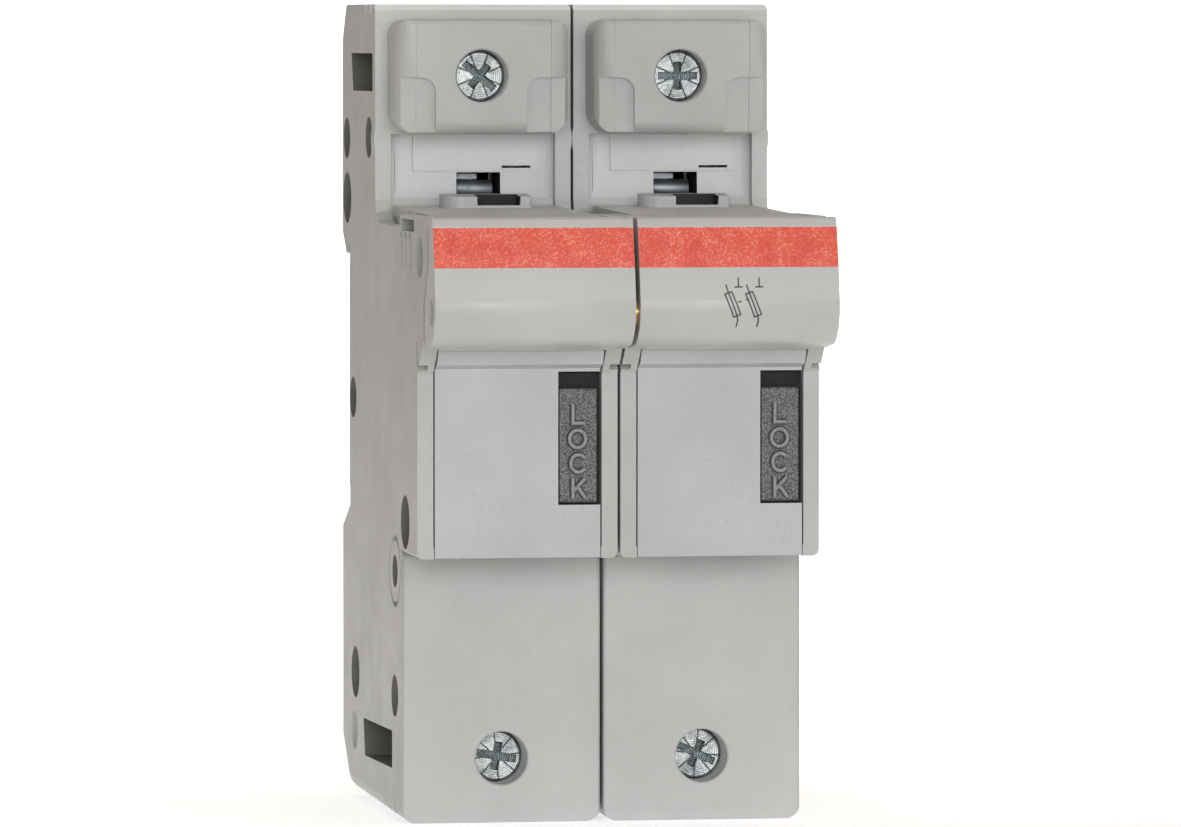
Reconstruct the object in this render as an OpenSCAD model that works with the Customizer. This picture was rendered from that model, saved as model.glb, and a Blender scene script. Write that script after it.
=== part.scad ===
// Two-pole DIN rail fuse holder for 14 x 51 mm cylindrical fuses.
// Frame: +X right, -Y to the operator, +Z up. Origin at the centre of the rail seat:
// y = 0 is the plane of the rail face, z = 0 the middle of the 35 mm rail, x = 0 between the poles.

/* [Poles] */
// Width given to each pole on the rail
pitch = 27; // [26:0.5:28]
// Free gap left on each side of a pole
side_gap = 0.2; // [0.1:0.1:0.6]
// Thickness of the housing side walls
wall = 2.2; // [1.8:0.1:2.6]

/* [Rail] */
// Height of the rail notch above and below the rail centre
notch_half = 17.8; // [17.6:0.1:18.2]
// Thickness of the rail flange that the fixed hook reaches behind
flange = 1.3; // [1.1:0.1:1.6]
// Rearmost plane of the housing behind the rail face
rear = 6.0; // [5:0.5:7]
// Step back of the seat near the two edges of the rail
seat_relief = 0.4; // [0.3:0.1:0.6]

/* [Opening] */
// Pivot of the fuse carrier, front to back
pivot_y = -47.4; // [-49:0.1:-46]
// Pivot of the fuse carrier, height
pivot_z = -17.9; // [-19:0.1:-17]
// Diameter of the pivot holes in the housing
pivot_hole = 7.15; // [6.5:0.05:7.3]

/* [Fuse] */
// Cap diameter of the fuse
cap_d = 14.3; // [14.0:0.1:14.3]
// Body diameter of the fuse
tube_d = 13.0; // [12.5:0.1:13.2]
// Length of each cap
cap_l = 13.0; // [10:0.5:13.8]
// Overall length of the fuse
fuse_l = 51.0; // [50.4:0.1:51.5]
// Height of the lower end of the fuse
fuse_z = -31.0; // [-31.5:0.1:-30]
// Axis of the fuse, front to back
fuse_y = -34.5; // [-35:0.1:-34]

/* [Terminals] */
// Height of the upper screw axis
screw_top_z = 40.8; // [40:0.1:42]
// Height of the lower screw axis
screw_low_z = -49.4; // [-50:0.1:-49]
// Diameter of the driver holes
driver_hole = 7.0; // [6.8:0.1:7.4]
// Diameter of the screw heads
head_d = 6.5; // [6.2:0.1:6.7]
// Outside diameter of the screw threads
thread_d = 5.8; // [5.6:0.1:5.9]
// Diameter of the cable entries
entry_d = 11.0; // [9:0.5:11]

/* [Hidden] */
$fn = 48;

mid = pitch / 2;              // parting plane of the two half-shells
xl = side_gap;                // left face of a pole
xr = pitch - side_gap;        // right face of a pole
il = xl + wall;               // inner face of the left side wall
ir = xr - wall;               // inner face of the right side wall
cheek_l = 2.3;                // inner face of the left front cheek
cheek_r = pitch - cheek_l;
far = 90;                     // longer than anything cut

// carrier widths
cl = 2.5;
cr = pitch - cl;
ct = 1.5;                     // thickness of the carrier side plates

// contact strip
bar_l = 9.5;
bar_r = 17.5;
leaf_l = mid - cap_d / 2 - 0.3;   // inner faces of the jaw leaves
leaf_r = mid + cap_d / 2 + 0.3;
leaf_t = 1.3;

// box round the upper screw, and the seat of its cover
box_l = 1.85;
box_r = 25.4;
box_low = 33.0;
box_top = 48.3;
seat_l = 4.6;
seat_r = 22.95;
step_y = 29.3;
step_z = 40.6;
stem_l = 7.2;                 // sides of the stem of the T-shaped front
stem_r = 19.6;

// side positions [y, z]
rivet_at = [[2.2, 32.2], [-17.0, 32.5], [-3.1, -3.0], [-38.6, -41.4]];
pin_at = [[1.9, 24.1], [-4.9, -40.4]];

grey = [0.73, 0.72, 0.70];
pale = [0.80, 0.79, 0.77];
dark = [0.16, 0.15, 0.16];
zinc = [0.72, 0.74, 0.76];
copper = [0.78, 0.76, 0.72];
steel = [0.60, 0.61, 0.63];
brass = [0.78, 0.62, 0.32];
ceramic = [0.93, 0.92, 0.88];

// ---------- helpers ----------

// box from its six limits
module bx(x0, x1, y0, y1, z0, z1) {
    translate([x0, y0, z0]) cube([x1 - x0, y1 - y0, z1 - z0]);
}

// side view outline (y, z) given thickness from x0 to x1
module side(x0, x1, pts) {
    translate([x0, 0, 0]) rotate([90, 0, 90]) linear_extrude(height = x1 - x0) polygon(pts);
}

// front view outline (x, z) given depth from y0 to y1
module front(y0, y1, pts) {
    translate([0, y1, 0]) rotate([90, 0, 0]) linear_extrude(height = y1 - y0) polygon(pts);
}

// cylinders along each axis, from their limits
module xcyl(y, z, x0, x1, d) {
    translate([x0, y, z]) rotate([0, 90, 0]) cylinder(h = x1 - x0, d = d);
}
module ycyl(x, z, y0, y1, d) {
    translate([x, y1, z]) rotate([90, 0, 0]) cylinder(h = y1 - y0, d = d);
}
module zcyl(x, y, z0, z1, d) {
    translate([x, y, z0]) cylinder(h = z1 - z0, d = d);
}

// waste that rounds an outer edge along X, Y or Z; a and b give the outward directions
module round_x(y, z, a, b, r, x0, x1) {
    difference() {
        bx(x0, x1, min(y - a * r, y + a), max(y - a * r, y + a), min(z - b * r, z + b), max(z - b * r, z + b));
        xcyl(y - a * r, z - b * r, x0 - 1, x1 + 1, 2 * r);
    }
}
module round_y(x, z, a, b, r, y0, y1) {
    difference() {
        bx(min(x - a * r, x + a), max(x - a * r, x + a), y0, y1, min(z - b * r, z + b), max(z - b * r, z + b));
        ycyl(x - a * r, z - b * r, y0 - 1, y1 + 1, 2 * r);
    }
}
module round_z(x, y, a, b, r, z0, z1) {
    difference() {
        bx(min(x - a * r, x + a), max(x - a * r, x + a), min(y - b * r, y + b), max(y - b * r, y + b), z0, z1);
        zcyl(x - a * r, y - b * r, z0 - 1, z1 + 1, 2 * r);
    }
}

// pole 1 is on the left, pole 2 on the right
module at_pole(p) {
    translate([p == 1 ? -pitch : 0, 0, 0]) children();
}

// the same thing on the other side of a pole
module other_side() {
    translate([pitch, 0, 0]) mirror([1, 0, 0]) children();
}

// ---------- housing ----------

// outline of the side walls, seen from the side
shell_pts = [
    [2.5, 50.4], [5.4, 46.4], [rear, 45.0],
    [rear, 19.4], [2.6, 16.5], [flange, 16.5], [flange, notch_half], [-seat_relief, notch_half],
    [-seat_relief, 15.4], [0, 15.0], [0, -15.0], [-seat_relief, -15.4], [-seat_relief, -notch_half], [rear, -20.9],
    [rear, -49.4], [-1.7, -56.7], [-43.8, -58.05], [-44.5, -57.85], [-45.0, -56.9],
    [-45.0, -22.6], [-43.9, -21.6], [-46.4, -21.9], [-57.5, -22.3],
    [-57.5, 2.0], [-61.0, 5.2], [-62.2, 6.4], [-62.2, 11.0], [-65.2, 16.3], [-65.3, 17.6], [-65.0, 19.3],
    [-64.2, 21.0], [-63.0, 22.1], [-61.5, 22.6], [-43.5, 22.6], [-42.8, 20.8], [-26.0, 21.1], [-24.2, 21.5],
    [-23.0, 22.5], [-22.5, 24.2],
    [-22.5, 49.6], [-21.7, 50.4]
];

// space between the side walls: the recess above the nose and the room of the carrier
open_pts = [
    [-far, box_low], [-20.1, box_low], [-20.1, 25.6], [-20.4, 24.4], [-21.2, 23.5], [-22.2, 23.1],
    [-23.0, 23.0], [-23.0, 20.4], [-20.4, 20.4],
    [-20.4, -31.8], [-42.4, -31.8], [-42.4, -22.4], [-45.2, -22.4], [-45.2, -22.9],
    [-far, -22.9]
];

// cuts of the left outer face; the right face gets them mirrored
module side_cuts() {
    e = xl - 1;
    for (p = rivet_at) xcyl(p[0], p[1], e, xl + 2.4, 5.6);
    for (p = pin_at) xcyl(p[0], p[1], e, xl + 7.2, 7.0);
    // pivot and ear holes
    xcyl(pivot_y, pivot_z, e, il + 0.2, pivot_hole);
    xcyl(-59.1, 17.3, e, il + 0.2, 5.6);
    // locating hole and the ring round the tubular boss
    xcyl(-4.1, -48.4, e, xl + 1.2, 5.2);
    xcyl(-38.9, -24.8, e, xl + 1.4, 4.3);
    difference() {
        xcyl(-38.9, -24.8, e, xl + 0.7, 9.6);
        xcyl(-38.9, -24.8, e - 1, xl + 2, 8.2);
    }
    // windows beside the terminals, with sloping rear ends
    side(e, xl + 5.5, [[-20.2, 38.7], [-3.4, 38.7], [-2.0, 43.8], [-20.2, 43.8]]);
    side(e, xl + 5.5, [[-36.4, -51.2], [-13.2, -51.2], [-11.9, -46.2], [-36.4, -46.2]]);
    // gripping notches on the top and bottom edges
    for (y = [-14.5, -18.6]) bx(e, xl + 1.6, y - 0.5, y + 0.5, 49.1, 52);
    for (y = [-27.9, -33.1, -37.6]) bx(e, xl + 1.6, y - 0.6, y + 0.6, -60, -56.3);
    // window and serrations near the top edge of the nose
    bx(e, il + 0.2, -54.8, -44.0, 20.5, 22.1);
    for (y = [-57.4, -59.0, -60.6]) xcyl(y, 22.75, e, il + 0.2, 0.9);
    // ribs moulded below the window
    for (y = [-44.8, -48.2, -52.0]) {
        bx(e, xl + 0.5, y - 0.35, y + 0.35, 15.7, 19.6);
        bx(e, xl + 0.5, y - 0.35, y + 1.5, 19.6, 20.3);
    }
    // channel where the ear runs into the rail
    side(e, xl + 1.2, [[-56.6, 6.2], [-57.4, 6.2], [-57.4, 4.2], [-59.4, 2.6], [-58.6, 1.8], [-56.6, 3.6]]);
}

// rounding of the front edges of the terminal box
module box_rims() {
    round_x(-30, box_top, -1, 1, 0.8, 0, 27);
    round_x(-30, box_low, -1, -1, 1.7, 0, 27);
}

// the underside rises a little to the rear, and its side edges are rounded along it
module low_edges() {
    translate([0, -45, -58.09]) rotate([atan(1.35 / 42.1), 0, 0]) {
        round_y(xl, 0, -1, -1, 2.1, -3, 46);
        round_y(xr, 0, 1, -1, 2.1, -3, 46);
    }
}

module shell_body() {
    difference() {
        union() {
            difference() {
                side(xl, xr, shell_pts);
                side(cheek_l, cheek_r, open_pts);
                // the nose is open to the front between the side walls
                bx(il + 0.5, ir - 0.5, -far, -45.1, -22.9, 24);
            }
            // box round the terminal screw, closed by the cover between its two sides
            difference() {
                bx(box_l, box_r, -30, -22.4, box_low, box_top);
                round_z(box_l, -30, -1, -1, 2.4, 32, 49);
                round_z(box_r, -30, 1, -1, 2.2, 32, 49);
                round_y(box_l, box_top, -1, 1, 2, -31, -22);
                round_y(box_r, box_top, 1, 1, 2, -31, -22);
                round_y(box_l, box_low, -1, -1, 3.2, -31, -22);
                round_y(box_r, box_low, 1, -1, 3.2, -31, -22);
                box_rims();
                // stepped back lower corners
                bx(0, seat_l + 0.2, -31, -step_y, 32, step_z);
                bx(seat_r - 0.2, 27, -31, -step_y, 32, step_z);
            }
            // raised panel below the box
            front(-20.45, -20.0, [[5.7, 28.0], [22.8, 28.0], [23.7, box_low + 0.1], [5.6, box_low + 0.1]]);
            // half-round spacers that close the gap between the poles
            intersection() {
                ycyl(7.43, 32.3, -22.5, -15, 14.8);
                bx(0, 1, -23, -15, 29, 36);
            }
            intersection() {
                ycyl(pitch - 7.43, 32.3, -22.5, -15, 14.8);
                bx(26, 27, -23, -15, 29, 36);
            }
            // small feet inside the lower end of the rails
            bx(xl, cl - 0.1, -57.5, -56.2, -22.3, -20.8);
            bx(cr + 0.1, xr, -57.5, -56.2, -22.3, -20.8);
            // fillets of the recess beside the cheeks
            for (x = [cheek_l, cheek_r])
                difference() {
                    bx(x - 1.6, x + 1.6, -21.7, -19.0, 22.9, box_low + 0.1);
                    zcyl(x == cheek_l ? x + 1.6 : x - 1.6, -21.7, 21, 34, 3.2);
                }
        }
        // seat of the upper cover and of the lower front plate
        bx(seat_l, seat_r, -31, -22, 32.5, box_top + 0.03);
        side(-1, 28, [[-43.78, -60], [-46, -60], [-46, -22.75], [-43.78, -22.75]]);
        // rounded lower side edges
        low_edges();
        round_y(xl, -22.3, -1, -1, 0.9, -58, -46);
        round_y(xr, -22.3, 1, -1, 0.9, -58, -46);
        // rounded upper corners
        round_y(xl, 50.4, -1, 1, 0.3, -24, 7);
        round_y(xr, 50.4, 1, 1, 0.5, -24, 7);
        // terminal chambers with their cable entries
        bx(6.6, 20.4, -22.1, 3.4, 35.4, 46.8);
        zcyl(mid, -5.4, 46, 52, entry_d);
        bx(6.6, 20.4, -35.0, -10.4, -54.9, -43.8);
        zcyl(mid, -18.4, -60, -54, entry_d);
        // lead-ins of the cable entries
        translate([mid, -5.4, 49.6]) cylinder(h = 1.0, d1 = entry_d, d2 = entry_d + 2);
        translate([mid, -18.4, -58.6]) cylinder(h = 1.6, d1 = entry_d + 3, d2 = entry_d);
        // way of the lower screw
        ycyl(mid, screw_low_z, -46, -37.6, driver_hole);
        ycyl(mid, screw_low_z, -38, -34, 6.2);
        // channels of the contact strips
        bx(bar_l - 0.3, bar_r + 0.3, -13.3, -10.7, 15.7, 36);
        bx(bar_l - 0.3, bar_r + 0.3, -21.0, -10.7, 15.7, 18.3);
        bx(bar_l - 0.3, bar_r + 0.3, -26.3, -23.7, -44.5, -33.7);
        bx(bar_l - 0.3, bar_r + 0.3, -26.3, -21.3, -36.3, -33.7);
        bx(bar_l - 0.3, bar_r + 0.3, -23.5, -21.3, -36.3, -31);
        // inspection window in the recess, with the thin slot beside it
        bx(11.6, 17.6, -22, -13.0, 23.4, 27.8);
        bx(17.75, 21.7, -22, -14.5, 28.35, 28.7);
        bx(14.9, 17.6, -13.2, -3.0, 23.9, 27.8);
        // channel of the rail clip
        bx(8.2, 18.8, 0.95, 4.8, -60, -15);
        // hollows behind the fuse and below the rail seat
        bx(4.0, 23.0, -18.6, -6.4, -14, 12);
        bx(4.0, 23.0, -18.6, -3.0, -31, -17);
        bx(4.0, 23.0, -7.5, -1.0, -35, -20);
        bx(4.0, 7.6, -9.0, -1.5, 14, 20);
        bx(19.4, 23.0, -9.0, -1.5, 14, 20);
        // rivet holes
        for (p = rivet_at) xcyl(p[0], p[1], -1, pitch + 1, 3.2);
        side_cuts();
        other_side() side_cuts();
    }
    // stops for the rail clip springs
    bx(12.0, 15.0, 0.8, 4.0, -41.0, -39.0);
}

module shell_left(p) {
    color(grey) at_pole(p) intersection() {
        shell_body();
        bx(-1, mid, -far, far, -far, far);
    }
}
module shell_right(p) {
    color(grey) at_pole(p) intersection() {
        shell_body();
        bx(mid, pitch + 1, -far, far, -far, far);
    }
}

// waste beside the stem of the T: the corner at (x, step_z) is rounded; a is the side it lies on
module beside_stem(x, a) {
    r = 1.9;
    difference() {
        bx(min(x, x + a * 12), max(x, x + a * 12), -31, -step_y, 32, step_z);
        difference() {
            bx(min(x, x + a * r), max(x, x + a * r), -32, -29, step_z - r, step_z);
            ycyl(x + a * r, step_z - r, -33, -28, 2 * r);
        }
    }
}

// centre of the T-shaped box, carrying the driver hole of the upper terminal
module cover_top(p) {
    color(grey) at_pole(p) difference() {
        bx(seat_l + 0.02, seat_r - 0.05, -30, -22.1, box_low, box_top);
        box_rims();
        // lower corners step back beside the stem
        beside_stem(stem_l, -1);
        beside_stem(stem_r, 1);
        ycyl(mid, screw_top_z, -31, -24.3, driver_hole);
        ycyl(mid, screw_top_z, -31, -21, 6.2);
        // small chamfer of the driver hole
        translate([mid, -29.8, screw_top_z]) rotate([90, 0, 0]) cylinder(h = 1, d1 = driver_hole, d2 = driver_hole + 2);
        // core in the back of the moulding
        bx(5.8, 9.0, -28.0, -21, 42.5, 46.8);
        bx(18.0, 21.2, -28.0, -21, 42.5, 46.8);
        bx(7.4, 9.0, -28.0, -21, 35.4, 39.5);
        bx(18.0, 19.6, -28.0, -21, 35.4, 39.5);
    }
}

// front plate of the lower terminal, over the full width of the pole
module cover_low(p) {
    color(grey) at_pole(p) difference() {
        side(xl, xr, [[-43.8, -58.05], [-44.5, -57.85], [-45.0, -56.9], [-45.0, -22.8], [-43.8, -22.8]]);
        low_edges();
        round_z(xl, -45, -1, -1, 0.4, -60, -22);
        round_z(xr, -45, 1, -1, 0.55, -60, -22);
        ycyl(mid, screw_low_z, -46, -43, driver_hole);
        translate([mid, -44.8, screw_low_z]) rotate([90, 0, 0]) cylinder(h = 1, d1 = driver_hole, d2 = driver_hole + 2);
    }
}

// ---------- terminals ----------

// screw along Y: head front at y0, tip at y1, driver slot turned by turn
module screw(z, y0, y1, turn) {
    translate([mid, y0, z]) rotate([-90, 0, 0]) difference() {
        union() {
            cylinder(h = 3.2, d = head_d);
            translate([0, 0, 3.1]) cylinder(h = y1 - y0 - 3.9, d = thread_d);
            translate([0, 0, y1 - y0 - 0.9]) cylinder(h = 0.9, d1 = thread_d, d2 = thread_d - 1.4);
        }
        rotate([0, 0, turn]) {
            translate([-2.7, -0.5, -1]) cube([5.4, 1.0, 2.1]);
            translate([-0.55, -1.9, -1]) cube([1.1, 3.8, 2.6]);
            translate([-1.9, -0.55, -1]) cube([3.8, 1.1, 2.6]);
        }
        translate([0, 0, -0.1]) difference() {
            cylinder(h = 0.4, d = head_d + 1);
            translate([0, 0, -0.1]) cylinder(h = 0.6, d1 = head_d - 0.9, d2 = head_d + 0.1);
        }
    }
}
module screw_top(p) {
    color(zinc) at_pole(p) screw(screw_top_z, -27.5, -13.15, p == 1 ? 40 : 0);
}
module screw_low(p) {
    color(zinc) at_pole(p) screw(screw_low_z, -40.8, -26.15, p == 1 ? 10 : 25);
}

// cage clamp open along Z, threaded in its front wall
module cage(z, y0) {
    h = 4.8;
    difference() {
        bx(7.0, 20.0, y0, y0 + 17.4, z - h, z + h);
        bx(8.8, 18.2, y0 + 2.2, y0 + 15.6, z - h - 1, z + h + 1);
        ycyl(mid, z, y0 - 1, y0 + 4, thread_d + 0.1);
        for (x = [7.0, 20.0]) for (y = [y0, y0 + 17.4])
            round_z(x, y, x == 7.0 ? -1 : 1, y == y0 ? -1 : 1, 1.2, z - h - 1, z + h + 1);
    }
    // gripping ribs on the clamping face
    for (k = [-1, 0, 1])
        bx(9.4, 17.6, y0 + 15.2, y0 + 15.7, z + 2.6 * k - 0.4, z + 2.6 * k + 0.4);
}
module cage_top(p) { color(steel) at_pole(p) cage(screw_top_z, -15.4); }
module cage_low(p) { color(steel) at_pole(p) cage(screw_low_z, -28.4); }

// fuse jaw: a back plate with a leaf on each side of the cap
module jaw(z0, z1) {
    difference() {
        union() {
            bx(leaf_l - leaf_t, leaf_r + leaf_t, -23.2, -21.6, z0, z1);
            bx(leaf_l - leaf_t, leaf_l, -40.5, -21.6, z0, z1);
            bx(leaf_r, leaf_r + leaf_t, -40.5, -21.6, z0, z1);
        }
        // lead-in at the front of each leaf
        side(leaf_l - 0.4, leaf_r + 0.4, [[-41, z0 - 1], [-40.0, z0 - 1], [-40.0, z1 + 1], [-41, z1 + 1]]);
        // slot that lets each leaf flex in two fingers
        bx(0, pitch, -41, -27, (z0 + z1) / 2 - 0.5, (z0 + z1) / 2 + 0.5);
        round_x(-40.5, z0, -1, -1, 1.5, 0, pitch);
        round_x(-40.5, z1, -1, 1, 1.5, 0, pitch);
        round_z(leaf_l - leaf_t, -21.6, -1, 1, 1.0, z0 - 1, z1 + 1);
        round_z(leaf_r + leaf_t, -21.6, 1, 1, 1.0, z0 - 1, z1 + 1);
    }
}
module contact_top(p) {
    color(copper) at_pole(p) union() {
        difference() {
            bx(bar_l, bar_r, -13.0, -11.0, 16.0, 46.4);
            bx(14.9, 18.0, -13.2, -10.8, 23.9, 28.2);
        }
        bx(bar_l, bar_r, -22.6, -11.0, 16.0, 18.0);
        jaw(8.5, 19.5);
        // formed rib and ledge seen through the inspection window
        xcyl(-16.8, 25.55, 11.75, 16.9, 2.3);
        bx(11.9, 14.8, -16.8, -12.9, 25.0, 26.1);
        bx(11.8, 14.9, -16.9, -12.9, 26.85, 27.55);
    }
}
module contact_low(p) {
    color(copper) at_pole(p) union() {
        bx(bar_l, bar_r, -26.0, -24.0, -54.6, -34.0);
        bx(bar_l, bar_r, -26.0, -21.6, -36.0, -34.0);
        bx(bar_l, bar_r, -23.2, -21.6, -36.0, -28.0);
        jaw(-30.0, -19.5);
    }
}

// spring steel band round the back of a jaw
module jaw_spring(z0, z1) {
    o = leaf_l - leaf_t - 0.7;
    difference() {
        bx(o, pitch - o, -31.2, -20.9, z0, z1);
        bx(leaf_l - leaf_t, leaf_r + leaf_t, -32, -21.6, z0 - 1, z1 + 1);
        round_z(o, -20.9, -1, 1, 1.2, z0 - 1, z1 + 1);
        round_z(pitch - o, -20.9, 1, 1, 1.2, z0 - 1, z1 + 1);
    }
}
module jaw_spring_top(p) { color(steel) at_pole(p) jaw_spring(9.6, 15.4); }
module jaw_spring_low(p) { color(steel) at_pole(p) jaw_spring(-28.4, -21.4); }

// ---------- fuse carrier ----------

module carrier(p) {
    color(grey) at_pole(p) difference() {
        union() {
            // side plates inside the housing walls
            for (x = [cl, cr - ct])
                side(x, x + ct, [
                    [-57.5, -22.2], [-55.5, -22.2], [-55.2, -21.8], [-53.0, -21.8], [-53.0, -21.3],
                    [-33.0, -21.3], [-32.0, -19.5], [-32.0, 18.5], [-26.0, 22.0],
                    [-24.5, 22.0], [-24.5, 23.3], [-64.0, 22.4], [-64.0, 6.2],
                    [-60.6, 6.2], [-60.2, 4.6], [-57.5, 2.6]
                ]);
            // front face and its lower edge
            bx(cl, cr, -57.5, -55.5, -22.2, 3.0);
            bx(cl, cr, -57.5, -53.0, -21.8, -20.2);
            // ridge below the grip and the plate behind it
            side(cl, cr, [
                [-55.5, 1.0], [-57.5, 1.0], [-57.5, 2.6], [-59.4, 3.2], [-60.4, 4.9], [-60.6, 6.2], [-64.0, 6.2],
                [-64.0, 8.2], [-60.5, 8.2], [-58.2, 6.0], [-57.6, 4.6], [-55.5, 4.0]
            ]);
            bx(cl, cr, -64.0, -62.2, 6.2, 22.0);
            // top wall
            side(cl, cr, [[-24.5, 22.1], [-24.5, 23.3], [-64.0, 22.4], [-64.0, 21.2]]);
            // raised rim round the striker opening
            difference() {
                side(8.3, 20.2, [[-30.4, 22.5], [-30.4, 24.65], [-26.0, 25.0], [-26.0, 22.5]]);
                bx(12.75, 18.6, -31.0, -26.9, 23.5, 26);
                round_z(8.3, -30.4, -1, -1, 2.6, 22, 26);
                round_z(20.2, -30.4, 1, -1, 0.5, 22, 26);
            }
            // cross wall and the two arms that hold the fuse body
            bx(cl + 0.5, cr - 0.5, -44.0, -42.3, -15.0, 1.0);
            for (x = [mid - 8.1, mid + 6.6])
                bx(x, x + 1.5, -43.0, -29.5, -15.0, 1.0);
            for (x = [mid - 6.7, mid + 5.6])
                bx(x, x + 1.1, -30.4, -29.5, -15.0, 1.0);
            // ribs between the front face and the cross wall
            for (z = [-13.6, -2.0])
                bx(cl + 0.5, 18.6, -56.0, -43.5, z - 0.7, z + 0.7);
            // hollow pivot stubs
            xcyl(pivot_y, pivot_z, 1.1, cl + 1, pivot_hole - 0.14);
            xcyl(pivot_y, pivot_z, cr - 1, pitch - 1.1, pivot_hole - 0.14);
        }
        xcyl(pivot_y, pivot_z, -1, pitch + 1, 4.0);
        // seat and way of the lock slider
        bx(18.9, cr + 1, -58, -55.9, -15.3, 2.2);
        bx(19.4, 21.8, -58, -54, -14.3, -0.6);
        // striker opening through the top wall
        bx(12.75, 18.6, -29.5, -26.9, 18, 26);
        // windows of the side plates behind those of the housing
        for (x = [cl, cr - ct]) bx(x - 0.2, x + ct + 0.2, -54.8, -44.0, 20.5, 22.1);
    }
}

grip_gap = 0.3;                // free gap left on each side of a grip
grip_side = [
    [-62.9, 5.35], [-62.9, 11.15], [-65.95, 16.65], [-65.95, 22.5], [-68.3, 22.6], [-68.9, 22.3], [-69.3, 21.5],
    [-70.17, 18.0], [-70.9, 14.6], [-71.4, 11.8], [-66.38, 11.8], [-66.38, 5.81]
];
module grip(p) {
    color(pale) at_pole(p) difference() {
        union() {
            side(grip_gap, pitch - grip_gap, grip_side);
            // rounded lower front, tangent to the face above it
            intersection() {
                xcyl(-66.38, 10.91, grip_gap, pitch - grip_gap, 10.2);
                bx(0, pitch, -72, -66.3, 5, 11.9);
            }
            side(cheek_l, cheek_r, [
                [-64.0, 6.0], [-64.0, 22.4], [-66, 22.5], [-68, 22.5], [-68, 6.4], [-64, 5.4], [-61.3, 5.1], [-61.1, 6.0]
            ]);
        }
        // behind the plate of the carrier
        side(2.5, pitch - 2.5, [
            [-60, 6.05], [-64.0, 6.05], [-64.0, 24], [-60, 24]
        ]);
        // hollow
        side(2.5, pitch - 2.5, [
            [-63.9, 8.2], [-68.2, 8.4], [-69.5, 9.6], [-69.7, 11.0], [-69.5, 12.4], [-68.7, 16.3], [-67.9, 20.6],
            [-63.9, 20.6]
        ]);
        xcyl(-68.2, 10.3, -1, pitch + 1, 3.6);
    }
}

module lock_slider(p) {
    color(dark) at_pole(p) difference() {
        union() {
            bx(19.1, 24.0, -57.4, -55.95, -15.1, 0.1);
            bx(19.1, 24.0, -56.6, -55.95, -0.2, 2.0);
            bx(19.6, 21.6, -56.2, -44.4, -12.5, -3.2);
        }
        // padlock hole and the chamfered lower front edge
        xcyl(-49.5, -7.8, 18, 24, 4.5);
        round_x(-57.4, -15.1, -1, -1, 0.6, 19, 25);
        round_x(-57.4, 0.1, -1, 1, 0.5, 19, 25);
    }
}

module fuse_body(p) {
    color(ceramic) at_pole(p) zcyl(mid, fuse_y, fuse_z + 0.8, fuse_z + fuse_l - 0.8, tube_d);
}
module fuse_cap() {
    difference() {
        cylinder(h = cap_l, d = cap_d);
        translate([0, 0, 0.8]) cylinder(h = cap_l, d = tube_d);
        difference() {
            translate([0, 0, -1]) cylinder(h = 1.8, d = cap_d + 2);
            translate([0, 0, -1.01]) cylinder(h = 1.9, d1 = cap_d - 3.0, d2 = cap_d + 0.8);
        }
    }
}
module fuse_caps(p) {
    color(steel) at_pole(p) union() {
        translate([mid, fuse_y, fuse_z]) fuse_cap();
        translate([mid, fuse_y, fuse_z + fuse_l]) mirror([0, 0, 1]) fuse_cap();
    }
}

// ---------- rail clip ----------

module rail_clip(p) {
    color(grey) at_pole(p) difference() {
        side(8.5, 18.5, [[1.25, -53.6], [4.5, -50.4], [4.5, -18.6], [3.0, -16.4], [1.25, -16.4]]);
        // room of the spring and the eye for a screwdriver
        bx(10.4, 16.6, 0, 6, -44.0, -26.0);
        bx(11.2, 15.8, 0, 6, -50.0, -47.4);
    }
}

// zigzag strip between the stop of the housing and the top of the room in the clip
module clip_spring(p) {
    n = 6;
    z0 = -38.62;
    step = 12.2 / n;
    w = 4.4;
    a = atan(step / w);
    color(steel) at_pole(p) translate([mid, 2.3, 0]) union() {
        for (i = [0 : n - 1])
            translate([0, 0.6, z0 + step * (i + 0.5)]) rotate([0, i % 2 == 0 ? -a : a, 0])
                cube([w / cos(a), 1.2, 0.5], center = true);
        for (i = [0 : n])
            ycyl(i % 2 == 0 ? -w / 2 : w / 2, z0 + step * i, 0, 1.2, 0.7);
    }
}

// ---------- fixings ----------

module rivets(p) {
    color(steel) at_pole(p)
        for (q = rivet_at) {
            xcyl(q[0], q[1], xl + 1.8, xr - 1.8, 3.0);
            xcyl(q[0], q[1], xl + 1.7, xl + 2.4, 5.2);
            xcyl(q[0], q[1], xr - 2.4, xr - 1.7, 5.2);
        }
}

module pole_pins() {
    color(grey) for (q = pin_at) difference() {
        xcyl(q[0], q[1], -6.8, 6.8, 6.8);
        xcyl(q[0], q[1], -8, -2, 4.0);
        xcyl(q[0], q[1], 2, 8, 4.0);
    }
}

module tie_pin() {
    color(brass) xcyl(-68.2, 10.3, -4.6, 4.6, 3.5);
}

shell_left(1);  // shell_left_1
shell_right(1);  // shell_right_1
shell_left(2);  // shell_left_2
shell_right(2);  // shell_right_2
cover_top(1);  // cover_top_1
cover_top(2);  // cover_top_2
cover_low(1);  // cover_low_1
cover_low(2);  // cover_low_2
screw_top(1);  // screw_top_1
screw_top(2);  // screw_top_2
screw_low(1);  // screw_low_1
screw_low(2);  // screw_low_2
cage_top(1);  // cage_top_1
cage_top(2);  // cage_top_2
cage_low(1);  // cage_low_1
cage_low(2);  // cage_low_2
contact_top(1);  // contact_top_1
contact_top(2);  // contact_top_2
contact_low(1);  // contact_low_1
contact_low(2);  // contact_low_2
jaw_spring_top(1);  // jaw_spring_top_1
jaw_spring_top(2);  // jaw_spring_top_2
jaw_spring_low(1);  // jaw_spring_low_1
jaw_spring_low(2);  // jaw_spring_low_2
carrier(1);  // carrier_1
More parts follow.
